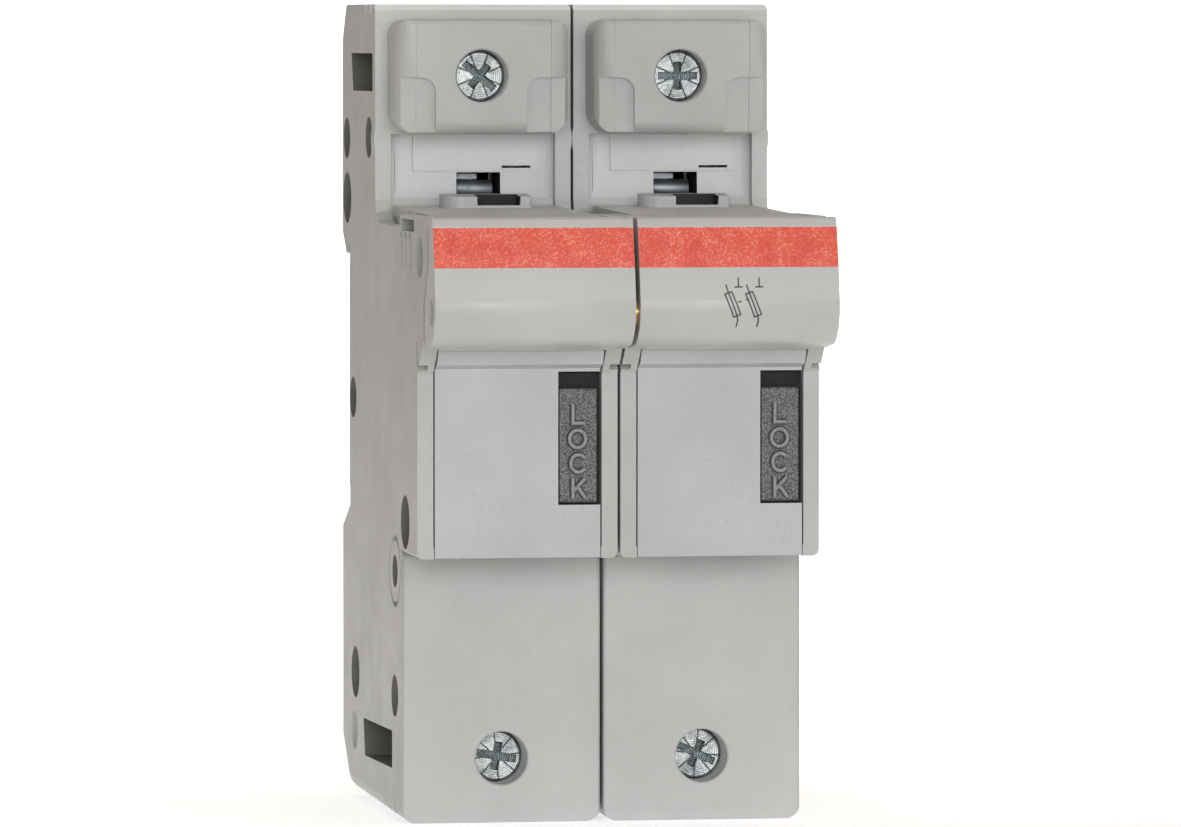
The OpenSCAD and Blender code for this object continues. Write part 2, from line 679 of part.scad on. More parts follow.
carrier(2);  // carrier_2
grip(1);  // grip_1
grip(2);  // grip_2
lock_slider(1);  // lock_slider_1
lock_slider(2);  // lock_slider_2
fuse_body(1);  // fuse_body_1
fuse_body(2);  // fuse_body_2
fuse_caps(1);  // fuse_caps_1
fuse_caps(2);  // fuse_caps_2
rail_clip(1);  // rail_clip_1
rail_clip(2);  // rail_clip_2
clip_spring(1);  // clip_spring_1
clip_spring(2);  // clip_spring_2
rivets(1);  // rivets_1
rivets(2);  // rivets_2
pole_pins();
tie_pin();
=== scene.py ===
import math

import bmesh
import bpy
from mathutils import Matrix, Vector
from mathutils.bvhtree import BVHTree


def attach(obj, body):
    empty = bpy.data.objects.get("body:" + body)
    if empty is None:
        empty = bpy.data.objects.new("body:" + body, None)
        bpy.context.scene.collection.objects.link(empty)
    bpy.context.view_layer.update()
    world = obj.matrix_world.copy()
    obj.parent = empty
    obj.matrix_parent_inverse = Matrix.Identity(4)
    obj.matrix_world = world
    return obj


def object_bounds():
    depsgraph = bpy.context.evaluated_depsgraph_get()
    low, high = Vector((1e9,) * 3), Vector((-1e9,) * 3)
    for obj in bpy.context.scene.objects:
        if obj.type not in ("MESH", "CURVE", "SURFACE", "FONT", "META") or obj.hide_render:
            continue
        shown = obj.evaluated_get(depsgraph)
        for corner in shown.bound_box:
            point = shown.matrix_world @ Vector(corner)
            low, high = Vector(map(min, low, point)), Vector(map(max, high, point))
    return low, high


MM = 0.001
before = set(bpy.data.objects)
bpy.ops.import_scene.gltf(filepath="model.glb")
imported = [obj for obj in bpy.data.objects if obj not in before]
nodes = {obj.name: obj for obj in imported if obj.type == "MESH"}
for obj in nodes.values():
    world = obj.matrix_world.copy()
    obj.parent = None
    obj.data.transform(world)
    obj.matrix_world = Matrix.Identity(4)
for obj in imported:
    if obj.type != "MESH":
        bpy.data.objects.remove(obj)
cad_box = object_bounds()
POLES = (1, 2)
PITCH = 27.0  # mm
SIDE = {1: "left", 2: "right"}


def pole_x(p, x):
    """Pole-local x in mm to the row frame in mm."""
    return x - (PITCH if p == 1 else 0.0)


# ---------------------------------------------------------------- camera and light

cam_data = bpy.data.cameras.new("camera")
cam = bpy.data.objects.new("camera", cam_data)
bpy.context.scene.collection.objects.link(cam)
bpy.context.scene.camera = cam
cam_data.sensor_width = 36.0
cam_data.lens = 296.3
cam_data.clip_start = 0.05
cam_data.clip_end = 20.0
cam.location = (-0.231, -1.311, 0.047)
AIM = Vector((0.18125, 1.0, -0.04015))
cam.rotation_euler = AIM.to_track_quat("-Z", "Y").to_euler()

world = bpy.data.worlds.new("studio")
bpy.context.scene.world = world
world.use_nodes = True
world.node_tree.nodes["Background"].inputs[0].default_value = (1.0, 0.935, 0.87, 1.0)
world.node_tree.nodes["Background"].inputs[1].default_value = 0.33


def area(name, loc, target, size, power, colour=(1, 1, 1)):
    data = bpy.data.lights.new(name, "AREA")
    data.shape = "RECTANGLE"
    data.size, data.size_y = size
    data.energy = power
    data.color = colour
    ob = bpy.data.objects.new(name, data)
    bpy.context.scene.collection.objects.link(ob)
    ob.location = loc
    ob.rotation_euler = (Vector(target) - Vector(loc)).to_track_quat("-Z", "Y").to_euler()
    return ob


area("front", (-0.14, -1.45, 0.12), (0, 0, 0), (0.9, 0.7), 12.1, (0.96, 0.985, 1.0))
area("fill", (1.0, -0.9, 0.15), (0, 0, 0), (0.6, 0.6), 2.2)
area("top", (0.0, -0.1, 1.1), (0, 0, 0), (0.8, 0.8), 2.7, (1.0, 0.93, 0.87))


# ---------------------------------------------------------------- materials


class Mat:
    """A node material with short calls for what this scene needs."""

    def __init__(self, name):
        self.m = bpy.data.materials.new(name)
        self.m.use_nodes = True
        self.t = self.m.node_tree
        self.b = self.t.nodes["Principled BSDF"]
        coords = self.t.nodes.new("ShaderNodeTexCoord").outputs
        self.obj, self.local_normal = coords["Object"], coords["Normal"]

    def add(self, kind, **values):
        n = self.t.nodes.new(kind)
        for k, v in values.items():
            setattr(n, k, v)
        return n

    def link(self, a, b):
        self.t.links.new(a, b)

    def mapped(self, scale):
        n = self.add("ShaderNodeMapping")
        n.inputs["Scale"].default_value = scale
        self.link(self.obj, n.inputs["Vector"])
        return n.outputs[0]

    def noise(self, scale, detail=3.0, rough=0.5, vec=None):
        n = self.add("ShaderNodeTexNoise")
        n.inputs["Scale"].default_value = scale
        n.inputs["Detail"].default_value = detail
        n.inputs["Roughness"].default_value = rough
        self.link(vec or self.obj, n.inputs["Vector"])
        return n.outputs["Fac"]

    def voronoi(self, scale):
        n = self.add("ShaderNodeTexVoronoi", feature="F1")
        n.inputs["Scale"].default_value = scale
        self.link(self.obj, n.inputs["Vector"])
        return n.outputs["Distance"]

    def ramp(self, fac, stops):
        n = self.add("ShaderNodeValToRGB")
        e = n.color_ramp.elements
        while len(e) < len(stops):
            e.new(0.5)
        for el, (pos, col) in zip(e, stops):
            el.position = pos
            el.color = (*col, 1.0)
        self.link(fac, n.inputs[0])
        return n.outputs[0]

    def grey(self, fac, p0, v0, p1, v1):
        return self.ramp(fac, [(p0, (v0, v0, v0)), (p1, (v1, v1, v1))])

    def mix(self, fac, a, b):
        n = self.add("ShaderNodeMix", data_type="RGBA", blend_type="MIX")
        for v, i in ((fac, 0), (a, 6), (b, 7)):
            if isinstance(v, (int, float)):
                n.inputs[i].default_value = v
            elif isinstance(v, tuple):
                n.inputs[i].default_value = (*v, 1.0)
            else:
                self.link(v, n.inputs[i])
        return n.outputs[2]

    def math(self, op, a, b=0.0):
        n = self.add("ShaderNodeMath", operation=op)
        for v, i in ((a, 0), (b, 1)):
            if isinstance(v, (int, float)):
                n.inputs[i].default_value = v
            else:
                self.link(v, n.inputs[i])
        return n.outputs[0]

    def xyz(self, vec=None):
        n = self.add("ShaderNodeSeparateXYZ")
        self.link(vec or self.obj, n.inputs[0])
        return n.outputs

    def bump(self, height, strength, distance, normal=None):
        n = self.add("ShaderNodeBump")
        n.inputs["Strength"].default_value = strength
        n.inputs["Distance"].default_value = distance
        self.link(height, n.inputs["Height"])
        if normal is not None:
            self.link(normal, n.inputs["Normal"])
        return n.outputs[0]

    def out(self, colour=None, rough=None, normal=None, metallic=0.0, **fixed):
        for v, key in ((colour, "Base Color"), (rough, "Roughness"), (normal, "Normal")):
            if v is None:
                continue
            if isinstance(v, (int, float)):
                self.b.inputs[key].default_value = v
            elif isinstance(v, tuple):
                self.b.inputs[key].default_value = (*v, 1.0)
            else:
                self.link(v, self.b.inputs[key])
        self.b.inputs["Metallic"].default_value = metallic
        for k, v in fixed.items():
            self.b.inputs[k.replace("_", " ")].default_value = v
        return self.m


def worn_edges(m, radius, low=0.02, high=0.25):
    """Mask that is 1 on narrow convex and concave edges."""
    bevel = m.add("ShaderNodeBevel", samples=4)
    bevel.inputs["Radius"].default_value = radius
    geo = m.add("ShaderNodeNewGeometry")
    dot = m.add("ShaderNodeVectorMath", operation="DOT_PRODUCT")
    m.link(bevel.outputs[0], dot.inputs[0])
    m.link(geo.outputs["Normal"], dot.inputs[1])
    inv = m.math("SUBTRACT", 1.0, dot.outputs["Value"])
    return m.grey(inv, low, 0.0, high, 1.0)


def moulded(name, base, rough=0.46, grain=0.00006, spec=0.45):
    """Light moulded plastic: spark-eroded grain, faint flow clouds, fine dust and rubbed edges."""
    m = Mat(name)
    darker = tuple(c * 0.93 for c in base)
    lighter = tuple(min(1.0, c * 1.04) for c in base)
    clouds = m.noise(55.0, 4.0, 0.55)
    colour = m.mix(m.grey(clouds, 0.35, 0.0, 0.65, 1.0), darker, lighter)
    specks = m.grey(m.noise(2600.0, 2.0, 0.6), 0.30, 0.0, 0.42, 1.0)
    colour = m.mix(specks, tuple(c * 0.9 for c in base), colour)
    dust = m.grey(m.voronoi(420.0), 0.03, 1.0, 0.07, 0.0)
    dust = m.math("MULTIPLY", dust, m.grey(m.noise(90.0), 0.58, 0.0, 0.75, 0.28))
    colour = m.mix(dust, colour, tuple(c * 0.72 for c in base))
    edge = worn_edges(m, 0.0003)
    scuffed = m.math("MULTIPLY", edge, m.grey(m.noise(260.0, 4.0), 0.35, 0.15, 0.7, 0.75))
    colour = m.mix(scuffed, colour, tuple(min(1.0, c * 1.16) for c in base))
    r = m.grey(m.noise(180.0, 4.0), 0.3, rough - 0.05, 0.7, rough + 0.07)
    fine = m.noise(5200.0, 2.0, 0.6)
    pits = m.voronoi(3300.0)
    h = m.math("ADD", fine, m.math("MULTIPLY", pits, 0.6))
    n = m.bump(h, 0.35, grain)
    n = m.bump(m.noise(38.0, 2.0), 0.25, 0.0004, n)
    return m.out(colour, r, n, Specular_IOR_Level=spec)


def metal(name, base, rough, aniso_scale, streak=0.16, spots=0.0):
    """Plated or bare metal with fine brushing along one axis and some staining."""
    m = Mat(name)
    lines = m.noise(1.0, 4.0, 0.6, m.mapped(aniso_scale))
    stains = m.noise(420.0, 5.0, 0.6)
    dark = tuple(c * (1 - streak) for c in base)
    colour = m.mix(m.grey(lines, 0.3, 0.0, 0.7, 1.0), dark, base)
    stained = m.math("MULTIPLY", m.grey(stains, 0.52, 0.0, 0.7, 1.0), spots)
    colour = m.mix(stained, colour, tuple(c * 0.55 for c in base))
    r = m.math("ADD", m.grey(lines, 0.3, rough, 0.7, rough + 0.1), m.grey(stains, 0.4, 0.0, 0.7, 0.1))
    n = m.bump(lines, 0.2, 0.00003)
    return m.out(colour, r, n, 1.0)


GREY = (0.458, 0.457, 0.450)
housing = moulded("housing_plastic", GREY)
face = moulded("carrier_plastic", (0.468, 0.470, 0.476), rough=0.42)

# printed band on the grip, mm: its edges, and how far back it reaches
BAND_TOP, BAND_LOW, BAND_REAR = 21.3, 16.1, -68.6


def label_material():
    """Grip: smoother plastic with the printed orange-red band, speckled where the ink is thin."""
    m = Mat("grip_print")
    base = (0.500, 0.497, 0.488)
    clouds = m.noise(60.0, 3.0)
    darker, lighter = tuple(c * 0.96 for c in base), tuple(c * 1.03 for c in base)
    colour = m.mix(m.grey(clouds, 0.35, 0.0, 0.65, 1.0), darker, lighter)
    y, z = m.xyz()[1:3]
    wobble = m.math("MULTIPLY", m.math("SUBTRACT", m.noise(900.0), 0.5), 0.12 * MM)
    zz = m.math("ADD", z, wobble)
    top = m.math("LESS_THAN", zz, BAND_TOP * MM)
    low = m.math("GREATER_THAN", zz, BAND_LOW * MM)
    front = m.math("LESS_THAN", y, BAND_REAR * MM)
    band = m.math("MULTIPLY", m.math("MULTIPLY", top, low), front)
    facing = m.math("LESS_THAN", m.xyz(m.local_normal)[1], -0.5)
    band = m.math("MULTIPLY", band, facing)
    speck = m.noise(3600.0, 2.0, 0.7)
    patch = m.noise(300.0, 4.0, 0.6)
    weak = m.grey(patch, 0.35, 0.25, 0.65, 0.85)
    thin = m.math("MULTIPLY", m.grey(speck, 0.50, 0.0, 0.66, 1.0), weak)
    red = m.mix(m.grey(patch, 0.35, 0.0, 0.7, 1.0), (0.67, 0.062, 0.034), (0.78, 0.098, 0.050))
    red = m.mix(thin, red, (0.84, 0.40, 0.30))
    colour = m.mix(band, colour, red)
    r = m.grey(m.noise(200.0, 4.0), 0.3, 0.34, 0.7, 0.44)
    h = m.math("ADD", m.noise(4800.0, 2.0), m.math("MULTIPLY", band, 0.8))
    n = m.bump(h, 0.22, 0.00005)
    return m.out(colour, r, n, Specular_IOR_Level=0.5)


def lock_material(name, grain, rough, dark, light):
    """Black slider plastic with eroded grain, smooth, and near black on the head above the plate,
    where the nail recess lies: painted shade.
    """
    m = Mat(name)
    grains = m.noise(4300.0, 2.0, 0.6)
    lumps = m.noise(2100.0, 3.0, 0.7)
    colour = m.mix(m.grey(grains, 0.40, 0.0, 0.62, 1.0), dark, light)
    edge = worn_edges(m, 0.0002)
    colour = m.mix(m.math("MULTIPLY", edge, 0.35), colour, (0.20, 0.20, 0.21))
    # painted shade: near black above the plate, down in the nail recess
    head = m.grey(m.math("ADD", m.math("MULTIPLY", m.xyz()[2], 100.0), 0.5), 0.485, 0.0, 0.505, 1.0)
    colour = m.mix(m.math("MULTIPLY", head, 0.92), colour, (0.012, 0.012, 0.012))
    r = m.math("MAXIMUM", m.grey(lumps, 0.3, rough, 0.7, rough + 0.16), m.math("MULTIPLY", head, 0.9))
    h = m.math("ADD", grains, lumps)
    n = m.bump(h, grain, 0.00016)
    return m.out(colour, r, n, Specular_IOR_Level=0.5)


def screw_material(name, z, head_y, marks, phase):
    """Zinc plated head: turning rings, rolled radial marks, and painted shade down in the driver
    slot.
    """
    m = Mat(name)
    x, y, zc = m.xyz()
    # the screws of both poles share one material: |x| folds the row onto one axis
    across = m.math("SUBTRACT", m.math("ABSOLUTE", x), PITCH / 2 * MM)
    up = m.math("SUBTRACT", zc, z * MM)
    square = m.math("ADD", m.math("MULTIPLY", across, across), m.math("MULTIPLY", up, up))
    rad = m.math("SQRT", square)
    rings = m.math("SINE", m.math("MULTIPLY", rad, 21000.0))
    turn = m.math("ADD", m.math("ARCTAN2", up, across), phase)
    spoke = m.math("ABSOLUTE", m.math("SINE", m.math("MULTIPLY", turn, marks / 2)))
    spoke = m.math("MULTIPLY", spoke, m.math("MULTIPLY", rad, 420.0))
    spoke = m.grey(spoke, 0.07, 1.0, 0.17, 0.0)
    spoke = m.math("MULTIPLY", spoke, m.grey(m.math("MULTIPLY", rad, 100.0), 0.12, 0.0, 0.15, 1.0))
    # painted shade: faces behind the front plane of the head, inside the driver slot, are darkened
    # like the marks
    depth = m.math("MULTIPLY", m.math("SUBTRACT", y, head_y * MM), 100.0)
    inner = m.grey(m.math("MULTIPLY", rad, 100.0), 0.27, 1.0, 0.30, 0.0)
    slot = m.math("MULTIPLY", m.grey(depth, 0.012, 0.0, 0.05, 1.0), inner)
    spoke = m.math("MAXIMUM", spoke, m.math("MULTIPLY", slot, 0.9))
    blotch = m.noise(900.0, 4.0, 0.65)
    base = m.mix(m.grey(blotch, 0.38, 0.0, 0.62, 1.0), (0.64, 0.68, 0.70), (0.95, 0.96, 0.97))
    colour = m.mix(m.grey(m.noise(620.0), 0.50, 0.0, 0.68, 0.60), base, (0.32, 0.41, 0.43))
    colour = m.mix(spoke, colour, (0.19, 0.23, 0.23))
    r = m.grey(blotch, 0.3, 0.26, 0.7, 0.50)
    h = m.math("ADD", m.math("MULTIPLY", rings, 0.25), m.noise(1500.0, 3.0))
    h = m.math("SUBTRACT", h, m.math("MULTIPLY", spoke, 1.5))
    n = m.bump(h, 0.9, 0.00014)
    return m.out(colour, r, n, 1.0)


tin = metal("tin_plate", (0.42, 0.44, 0.48), 0.50, (300.0, 300.0, 9000.0), spots=0.35)
cage_steel = metal("cage_steel", (0.60, 0.61, 0.63), 0.32, (500.0, 7000.0, 500.0), spots=0.4)
spring = metal("spring_steel", (0.36, 0.36, 0.38), 0.36, (9000.0, 400.0, 400.0), spots=0.3)
nickel = metal("cap_nickel", (0.76, 0.74, 0.70), 0.20, (400.0, 400.0, 12000.0), spots=0.2)
rivet = metal("rivet_steel", (0.115, 0.11, 0.105), 0.52, (2500.0, 2500.0, 2500.0), spots=0.4)
brass = metal("turned_brass", (0.74, 0.50, 0.19), 0.22, (14000.0, 600.0, 600.0), spots=0.2)


def ceramic_material():
    """Cream glazed tube with faint clouds and a few dark pores."""
    m = Mat("ceramic")
    a, b = (0.80, 0.77, 0.69), (0.88, 0.86, 0.80)
    colour = m.mix(m.grey(m.noise(140.0, 4.0), 0.35, 0.0, 0.65, 1.0), a, b)
    colour = m.mix(m.grey(m.noise(3000.0, 2.0), 0.27, 1.0, 0.34, 0.0), colour, (0.50, 0.45, 0.38))
    n = m.bump(m.noise(900.0, 3.0), 0.2, 0.00005)
    r = m.grey(m.noise(300.0), 0.3, 0.16, 0.7, 0.30)
    return m.out(colour, r, n, Coat_Weight=0.4, Coat_Roughness=0.1)


# height and front plane of each screw row in mm, number of radial marks, turn of the first mark
screws_top = screw_material("screw_zinc_top", 40.8, -27.5, 8, 0.4)
screws_low = screw_material("screw_zinc_low", -49.4, -40.8, 8, 0.1)
lock_plastic = lock_material("lock_plastic", 0.8, 0.30, (0.045, 0.044, 0.046), (0.22, 0.215, 0.22))
KIND = {
    "shell_left": housing, "shell_right": housing, "cover_top": housing, "cover_low": housing,
    "screw_top": screws_top, "screw_low": screws_low,
    "cage_top": cage_steel, "cage_low": cage_steel, "contact_top": tin, "contact_low": tin,
    "jaw_spring_top": spring, "jaw_spring_low": spring, "carrier": face, "grip": label_material(),
    "lock_slider": lock_plastic, "fuse_body": ceramic_material(), "fuse_caps": nickel,
    "rail_clip": housing, "clip_spring": spring, "rivets": rivet,
}
# raised letters: their tops painted lighter than the slider, a painted highlight, and their sides
# near black, painted shade
LETTER = lock_material("lock_letter", 0.08, 0.34, (0.20, 0.20, 0.20), (0.28, 0.28, 0.28))
LETTER_SIDE_SHADE = lock_material("lock_letter_side_shade", 0.10, 0.60, (0.010, 0.010, 0.010), (0.020, 0.020, 0.020))
# width of the moulded or broken edge of each kind, mm
EDGE = {
    "shell_left": 0.13, "shell_right": 0.13, "cover_top": 0.05, "cover_low": 0.08,
    "carrier": 0.16, "grip": 0.16, "lock_slider": 0.15, "rail_clip": 0.2,
    "screw_top": 0.06, "screw_low": 0.06, "cage_top": 0.25, "cage_low": 0.25,
    "contact_top": 0.15, "contact_low": 0.15, "fuse_caps": 0.15,
}


def soften(ob, width):
    """Small moulded radius on the edges of a CAD node, by modifiers only."""
    weld = ob.modifiers.new("weld", "WELD")
    weld.merge_threshold = 2e-6
    bev = ob.modifiers.new("edge", "BEVEL")
    bev.width = width * MM
    bev.segments = 2
    bev.limit_method = "ANGLE"
    bev.angle_limit = math.radians(32)
    bev.harden_normals = True
    bev.use_clamp_overlap = True
    bev.miter_outer = "MITER_ARC"


def dress(name, material, width):
    """One material on the whole node, and its edge width in mm."""
    ob = nodes[name]
    ob.data.materials.clear()
    ob.data.materials.append(material)
    for poly in ob.data.polygons:
        poly.material_index = 0
    if width:
        soften(ob, width)


for kind, material in KIND.items():
    for p in POLES:
        dress(f"{kind}_{p}", material, EDGE.get(kind, 0))

# faces inside these boxes (x in the pole, y, z in mm) take the dark material named with them: painted
# shade in deep openings and pockets
SHADE_BOXES = {
    "carrier": [
        ("well", (12.7, 18.65), (-29.55, -26.85), (19.0, 24.99)),  # striker opening
        ("well", (18.8, 24.6), (-57.45, -53.9), (-15.4, 2.3)),  # slot of the slider
    ],
    "shell_left": [
        ("well", (11.5, 13.6), (-19.8, -2.9), (23.3, 27.9)),  # inspection window
        ("pocket", (0.3, 5.8), (-21.2, -0.8), (37.8, 44.7)),  # window beside the upper terminal
        ("pocket", (0.3, 5.8), (-37.2, -10.8), (-52.2, -45.3)),  # and beside the lower one
        ("pocket", (0.3, 7.5), (-2.2, 5.8), (20.0, 28.0)),  # holes of the joining pins
        ("pocket", (0.3, 7.5), (-9.2, -0.8), (-44.7, -36.3)),
        ("pocket", (1.5, 1.7), (-41.5, -36.5), (-27.2, -22.5)),  # floor of the ring boss
    ],
    "shell_right": [
        ("well", (13.4, 17.65), (-19.8, -2.9), (23.3, 27.9)),
        ("pocket", (21.2, 26.7), (-21.2, -0.8), (37.8, 44.7)),
        ("pocket", (21.2, 26.7), (-37.2, -10.8), (-52.2, -45.3)),
        ("pocket", (19.5, 26.7), (-2.2, 5.8), (20.0, 28.0)),
        ("pocket", (19.5, 26.7), (-9.2, -0.8), (-44.7, -36.3)),
        ("pocket", (25.3, 25.5), (-41.5, -36.5), (-27.2, -22.5)),
    ],
}
# round holes of the side faces: y, z and radius in mm; the rivets, the pivot and the locating ring;
# their walls take the dark grey painted shade
HOLES = [(2.2, 32.2, 2.9), (-17.0, 32.5, 2.9), (-3.1, -3.0, 2.9), (-38.6, -41.4, 2.9),
         (-47.4, -17.9, 3.7), (-38.9, -24.8, 2.25)]
HOLE_NEAR, HOLE_FAR = 10.8, 13.25  # their faces lie this far from the middle of the pole, mm
EXTRA = {
    # near black and dark grey plastic: painted shade in openings, pockets and holes
    "well": moulded("black_shade_plastic", (0.020, 0.019, 0.018), 0.7),
    "pocket": moulded("grey_shade_plastic", (0.150, 0.145, 0.134), 0.6),
    # lighter copies of the housing plastic: painted light on the recess floor, the top chamfer and
    # the cheek fronts, the last also smoother
    "recess_lit": moulded("recess_lit_plastic", tuple(c * 1.52 for c in GREY)),
    "smooth_lit_cheek": moulded("smooth_lit_cheek_plastic", tuple(c * 1.14 for c in GREY), 0.40),
}
SLOT = {key: i + 1 for i, key in enumerate(EXTRA)}


def lit_front_zone(c):
    """Slot of a forward-looking face round the upper terminal, from its centre in mm, or None: a
    lighter copy of the housing plastic on the recess floor and the top chamfer, and a smoother
    lighter copy on the cheek fronts, both painted light.
    """
    if (-21.8 < c.y < -19.5 and c.z < 33.1) or c.z > 49.5:
        return SLOT["recess_lit"]
    if -23.2 < c.y < -21.6:
        return SLOT["smooth_lit_cheek"]
    return None


def inside(c, p, box):
    bx, by, bz = box
    return (pole_x(p, bx[0]) < c.x < pole_x(p, bx[1]) and by[0] < c.y < by[1]
            and bz[0] < c.z < bz[1])


for kind, boxes in SHADE_BOXES.items():
    for p in POLES:
        ob = nodes[f"{kind}_{p}"]
        for material in EXTRA.values():
            ob.data.materials.append(material)
        for poly in ob.data.polygons:
            c = poly.center / MM
            if kind.startswith("shell") and poly.normal.y < -0.3 and 23.0 < c.z < 50.5:
                zone = lit_front_zone(c)
                if zone:
                    poly.material_index = zone
            if HOLE_NEAR < abs(c.x - pole_x(p, PITCH / 2)) < HOLE_FAR:
                if any(math.hypot(c.y - y, c.z - z) < r for y, z, r in HOLES):
                    poly.material_index = SLOT["pocket"]
            for key, *box in boxes:
                if inside(c, p, box):
                    poly.material_index = SLOT[key]
dress("pole_pins", housing, 0.3)
dress("tie_pin", brass, 0.15)


# ---------------------------------------------------------------- drawn and raised marks


def surface_of(node):
    """Search tree of a node's surface at rest, to lay marks on."""
    bm = bmesh.new()
    bm.from_mesh(nodes[node].data)
    tree = BVHTree.FromBMesh(bm)
    bm.free()
    return tree


def resampled(points, step=0.4):
    """The same line with a point at least every step mm, so that it follows a curved surface."""
    out = [points[0]]
    for (x0, z0), (x1, z1) in zip(points, points[1:]):
        n = max(1, math.ceil(math.hypot(x1 - x0, z1 - z0) / step))
        out += [(x0 + (x1 - x0) * i / n, z0 + (z1 - z0) * i / n) for i in range(1, n + 1)]
    if points[0] == points[-1]:
        out[-1] = out[0]
    return out


def strokes_mesh(name, strokes, tree, width, profile):
    """Marks that lie on the front of a node.

    Each stroke is a list of (x, z) in mm, closed if it ends where it starts. profile lists
    (across, out): across is a part of the half width, out the height over the surface in mm.
    """
    bm = bmesh.new()
    for points in strokes:
        closed = points[0] == points[-1]
        pts = resampled(points)
        if closed:
            pts = pts[:-1]
        n = len(pts)
        rings = []
        for i, (x, z) in enumerate(pts):
            before = pts[i - 1] if closed or i else None
            after = pts[(i + 1) % n] if closed or i < n - 1 else None
            dirs = []
            for a, b in ((before, (x, z)), ((x, z), after)):
                if a and b:
                    d = Vector((b[0] - a[0], b[1] - a[1])).normalized()
                    dirs.append(d)
            mean = sum(dirs, Vector((0.0, 0.0))).normalized()
            mitre = 1.0 / max(0.4, mean.dot(dirs[0]))
            px, pz = x, z
            if len(dirs) == 1:
                end = -1 if i == 0 else 1
                px, pz = x + end * mean.x * width * 0.35, z + end * mean.y * width * 0.35
            ring = []
            for across, out in profile:
                k = across * width / 2 * mitre
                qx, qz = px - mean.y * k, pz + mean.x * k
                hit = tree.ray_cast(Vector((qx * MM, -0.2, qz * MM)), Vector((0, 1, 0)))[0]
                if hit is None:
                    raise RuntimeError(f"{name}: a stroke misses the surface at {qx:.1f}, {qz:.1f}")
                ring.append(bm.verts.new((qx * MM, hit.y - out * MM, qz * MM)))
            rings.append(ring)
        m = len(profile)
        pairs = list(zip(rings, rings[1:])) + ([(rings[-1], rings[0])] if closed else [])
        for a, b in pairs:
            for k in range(m):
                f = bm.faces.new((a[k], a[(k + 1) % m], b[(k + 1) % m], b[k]))
                f.material_index = 0 if profile is PRINTED or k in CROWN else 1
        if not closed:
            bm.faces.new(rings[0])
            bm.faces.new(list(reversed(rings[-1])))
    bmesh.ops.recalc_face_normals(bm, faces=bm.faces)
    mesh = bpy.data.meshes.new(name)
    bm.to_mesh(mesh)
    bm.free()
    ob = bpy.data.objects.new(name, mesh)
    bpy.context.scene.collection.objects.link(ob)
    return ob


# cross-sections of a stroke: a moulded letter whose sides carry painted shade, and a printed line
RAISED = [(-1.45, -0.03), (-1.45, 0.03), (-1.0, 0.03), (-0.8, 0.28), (-0.4, 0.38),
          (0.4, 0.38), (0.8, 0.28), (1.0, 0.03), (1.45, 0.03), (1.45, -0.03)]
# the segments outside CROWN are the sides of a letter, in painted shade
CROWN = (3, 4, 5)  # segments of RAISED that form the top of a letter; the others are its dark edge
PRINTED = [(-1.0, -0.03), (-1.0, 0.02), (1.0, 0.02), (1.0, -0.03)]


def arc(cx, cz, r, a0, a1, n, rz):
    """n + 1 points of an ellipse from a0 to a1 degrees, with half axes r across and rz up."""
    turns = [math.radians(a0 + (a1 - a0) * i / n) for i in range(n + 1)]
    return [(cx + r * math.cos(t), cz + rz * math.sin(t)) for t in turns]


def lock_word(x):
    """The four letters of LOCK, one below the other, as centre lines."""
    h = 1.15  # half height of a letter
    tops = {"L": -3.42, "O": -6.63, "C": -9.85, "K": -13.12}
    z = tops["L"]
    out = [[(x - 0.62, z + h), (x - 0.62, z - h), (x + 0.72, z - h)]]
    ring = arc(x, tops["O"], 1.08, 0, 360, 24, h)
    out.append(ring[:-1] + [ring[0]])
    out.append(arc(x + 0.1, tops["C"], 1.0, 48, 312, 18, h))
    z = tops["K"]
    out.append([(x - 0.62, z + h), (x - 0.62, z - h)])
    out.append([(x + 0.85, z + h), (x - 0.35, z - 0.15)])
    out.append([(x - 0.02, z + 0.2), (x + 0.95, z - h)])
    return out


INK = Mat("print_ink")
INK.out(INK.mix(INK.noise(1500.0), (0.045, 0.045, 0.048), (0.085, 0.085, 0.09)),
        INK.grey(INK.noise(800.0), 0.3, 0.35, 0.7, 0.5),
        INK.bump(INK.noise(2500.0), 0.2, 0.00002))

LOCK_X = 21.45  # middle of the slider in its pole, mm
LETTER_WIDTH = 0.60  # stroke widths, mm
LINE_WIDTH = 0.20
for p in POLES:
    tree = surface_of(f"lock_slider_{p}")
    ob = strokes_mesh(f"lock_letters_{p}", lock_word(pole_x(p, LOCK_X)), tree, LETTER_WIDTH, RAISED)
    ob.data.materials.append(LETTER)
    ob.data.materials.append(LETTER_SIDE_SHADE)
    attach(ob, f"lock_{SIDE[p]}")

# circuit symbol of a two-pole fuse switch, drawn on the right grip
tree = surface_of("grip_2")
POLE_STEP = 2.75  # from the fuse of one pole to the next in the symbol, mm
sym = []
for dx in (0.0, POLE_STEP):
    sym.append([(13.29 + dx, 14.68), (13.29 + dx, 13.6)])
    sym.append([(12.82 + dx, 13.55), (13.76 + dx, 13.55)])
    sym.append([(11.63 + dx, 13.81), (11.96 + dx, 12.75), (13.05 + dx, 9.80),
                (13.17 + dx, 9.25), (13.03 + dx, 8.40)])
    box = [(11.47 + dx, 12.62), (12.38 + dx, 12.95), (13.52 + dx, 9.98), (12.62 + dx, 9.63)]
    sym.append(box + [box[0]])
sym.append([(13.25, 11.58), (13.60, 11.68)])
sym.append([(14.26, 11.87), (14.60, 11.90)])
ob = strokes_mesh("fuse_switch_symbol", sym, tree, LINE_WIDTH, PRINTED)
ob.data.materials.append(INK.m)
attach(ob, "carrier_right")


# ---------------------------------------------------------------- floor

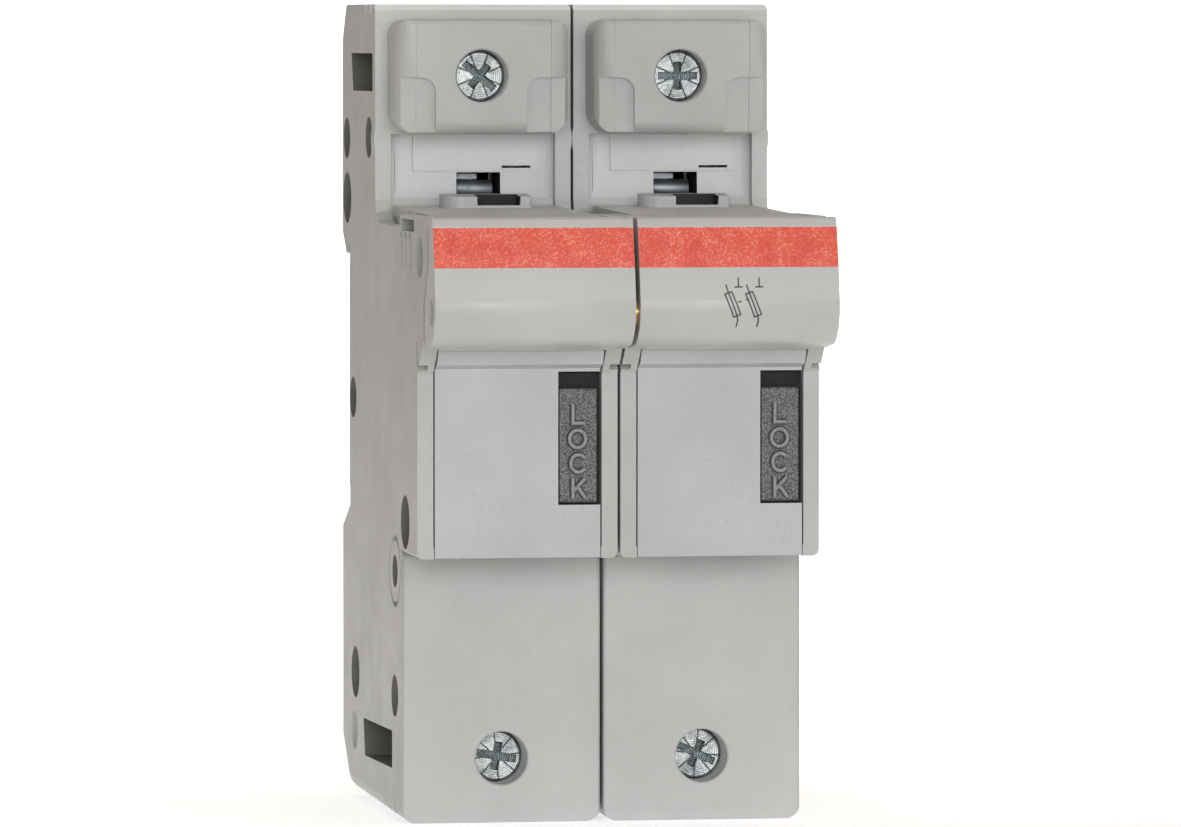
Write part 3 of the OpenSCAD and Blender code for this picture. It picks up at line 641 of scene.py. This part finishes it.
# a pale floor that curves up into the backdrop, in metres
FLOOR_Z = cad_box[0][2]
FLOOR_HALF = 3.0  # half width, and the reach to the front
WALL_Y, WALL_R, WALL_TOP = 2.0, 0.5, 3.0  # where the bend starts, its radius, the top of the wall
BEND_STEPS = 12
bm = bmesh.new()
rows = []
profile = [(-FLOOR_HALF, 0.0), (WALL_Y, 0.0)]
for i in range(1, BEND_STEPS + 1):
    a = math.pi / 2 * i / BEND_STEPS
    profile.append((WALL_Y + WALL_R * math.sin(a), WALL_R - WALL_R * math.cos(a)))
profile.append((WALL_Y + WALL_R, WALL_TOP))
for yy, zz in profile:
    rows.append([bm.verts.new((xx, yy, FLOOR_Z + zz)) for xx in (-FLOOR_HALF, FLOOR_HALF)])
for a, b in zip(rows, rows[1:]):
    bm.faces.new((a[0], a[1], b[1], b[0]))
mesh = bpy.data.meshes.new("floor")
bm.to_mesh(mesh)
bm.free()
for poly in mesh.polygons:
    poly.use_smooth = True
floor = bpy.data.objects.new("floor", mesh)
bpy.context.scene.collection.objects.link(floor)
fl = Mat("floor")
pale = fl.mix(fl.noise(6.0), (0.90, 0.90, 0.90), (0.93, 0.93, 0.93))
fl.out(pale, 0.75, fl.bump(fl.noise(500.0), 0.05, 0.0002))
fl.b.inputs["Emission Color"].default_value = (1.0, 1.0, 1.0, 1.0)
# it glows only in a patch of the floor and the wall behind the object, so the sides stay unlit
fx, fy, fz = fl.xyz()
lit = fl.grey(fl.math("ADD", fy, 1.0), 0.86, 0.0, 0.95, 0.52)
lit = fl.math("ADD", lit, fl.grey(fy, 0.0, 0.0, 0.3, 0.6))
aside = fl.math("ABSOLUTE", fl.math("SUBTRACT", fx, 0.28))
lit = fl.math("MULTIPLY", lit, fl.grey(aside, 0.38, 1.0, 0.60, 0.0))
lit = fl.math("MULTIPLY", lit, fl.grey(fz, 0.10, 1.0, 0.30, 0.0))
fl.link(lit, fl.b.inputs["Emission Strength"])
floor.data.materials.append(fl.m)

bpy.context.scene.view_settings.view_transform = "Standard"
bpy.context.scene.view_settings.exposure = 0.0
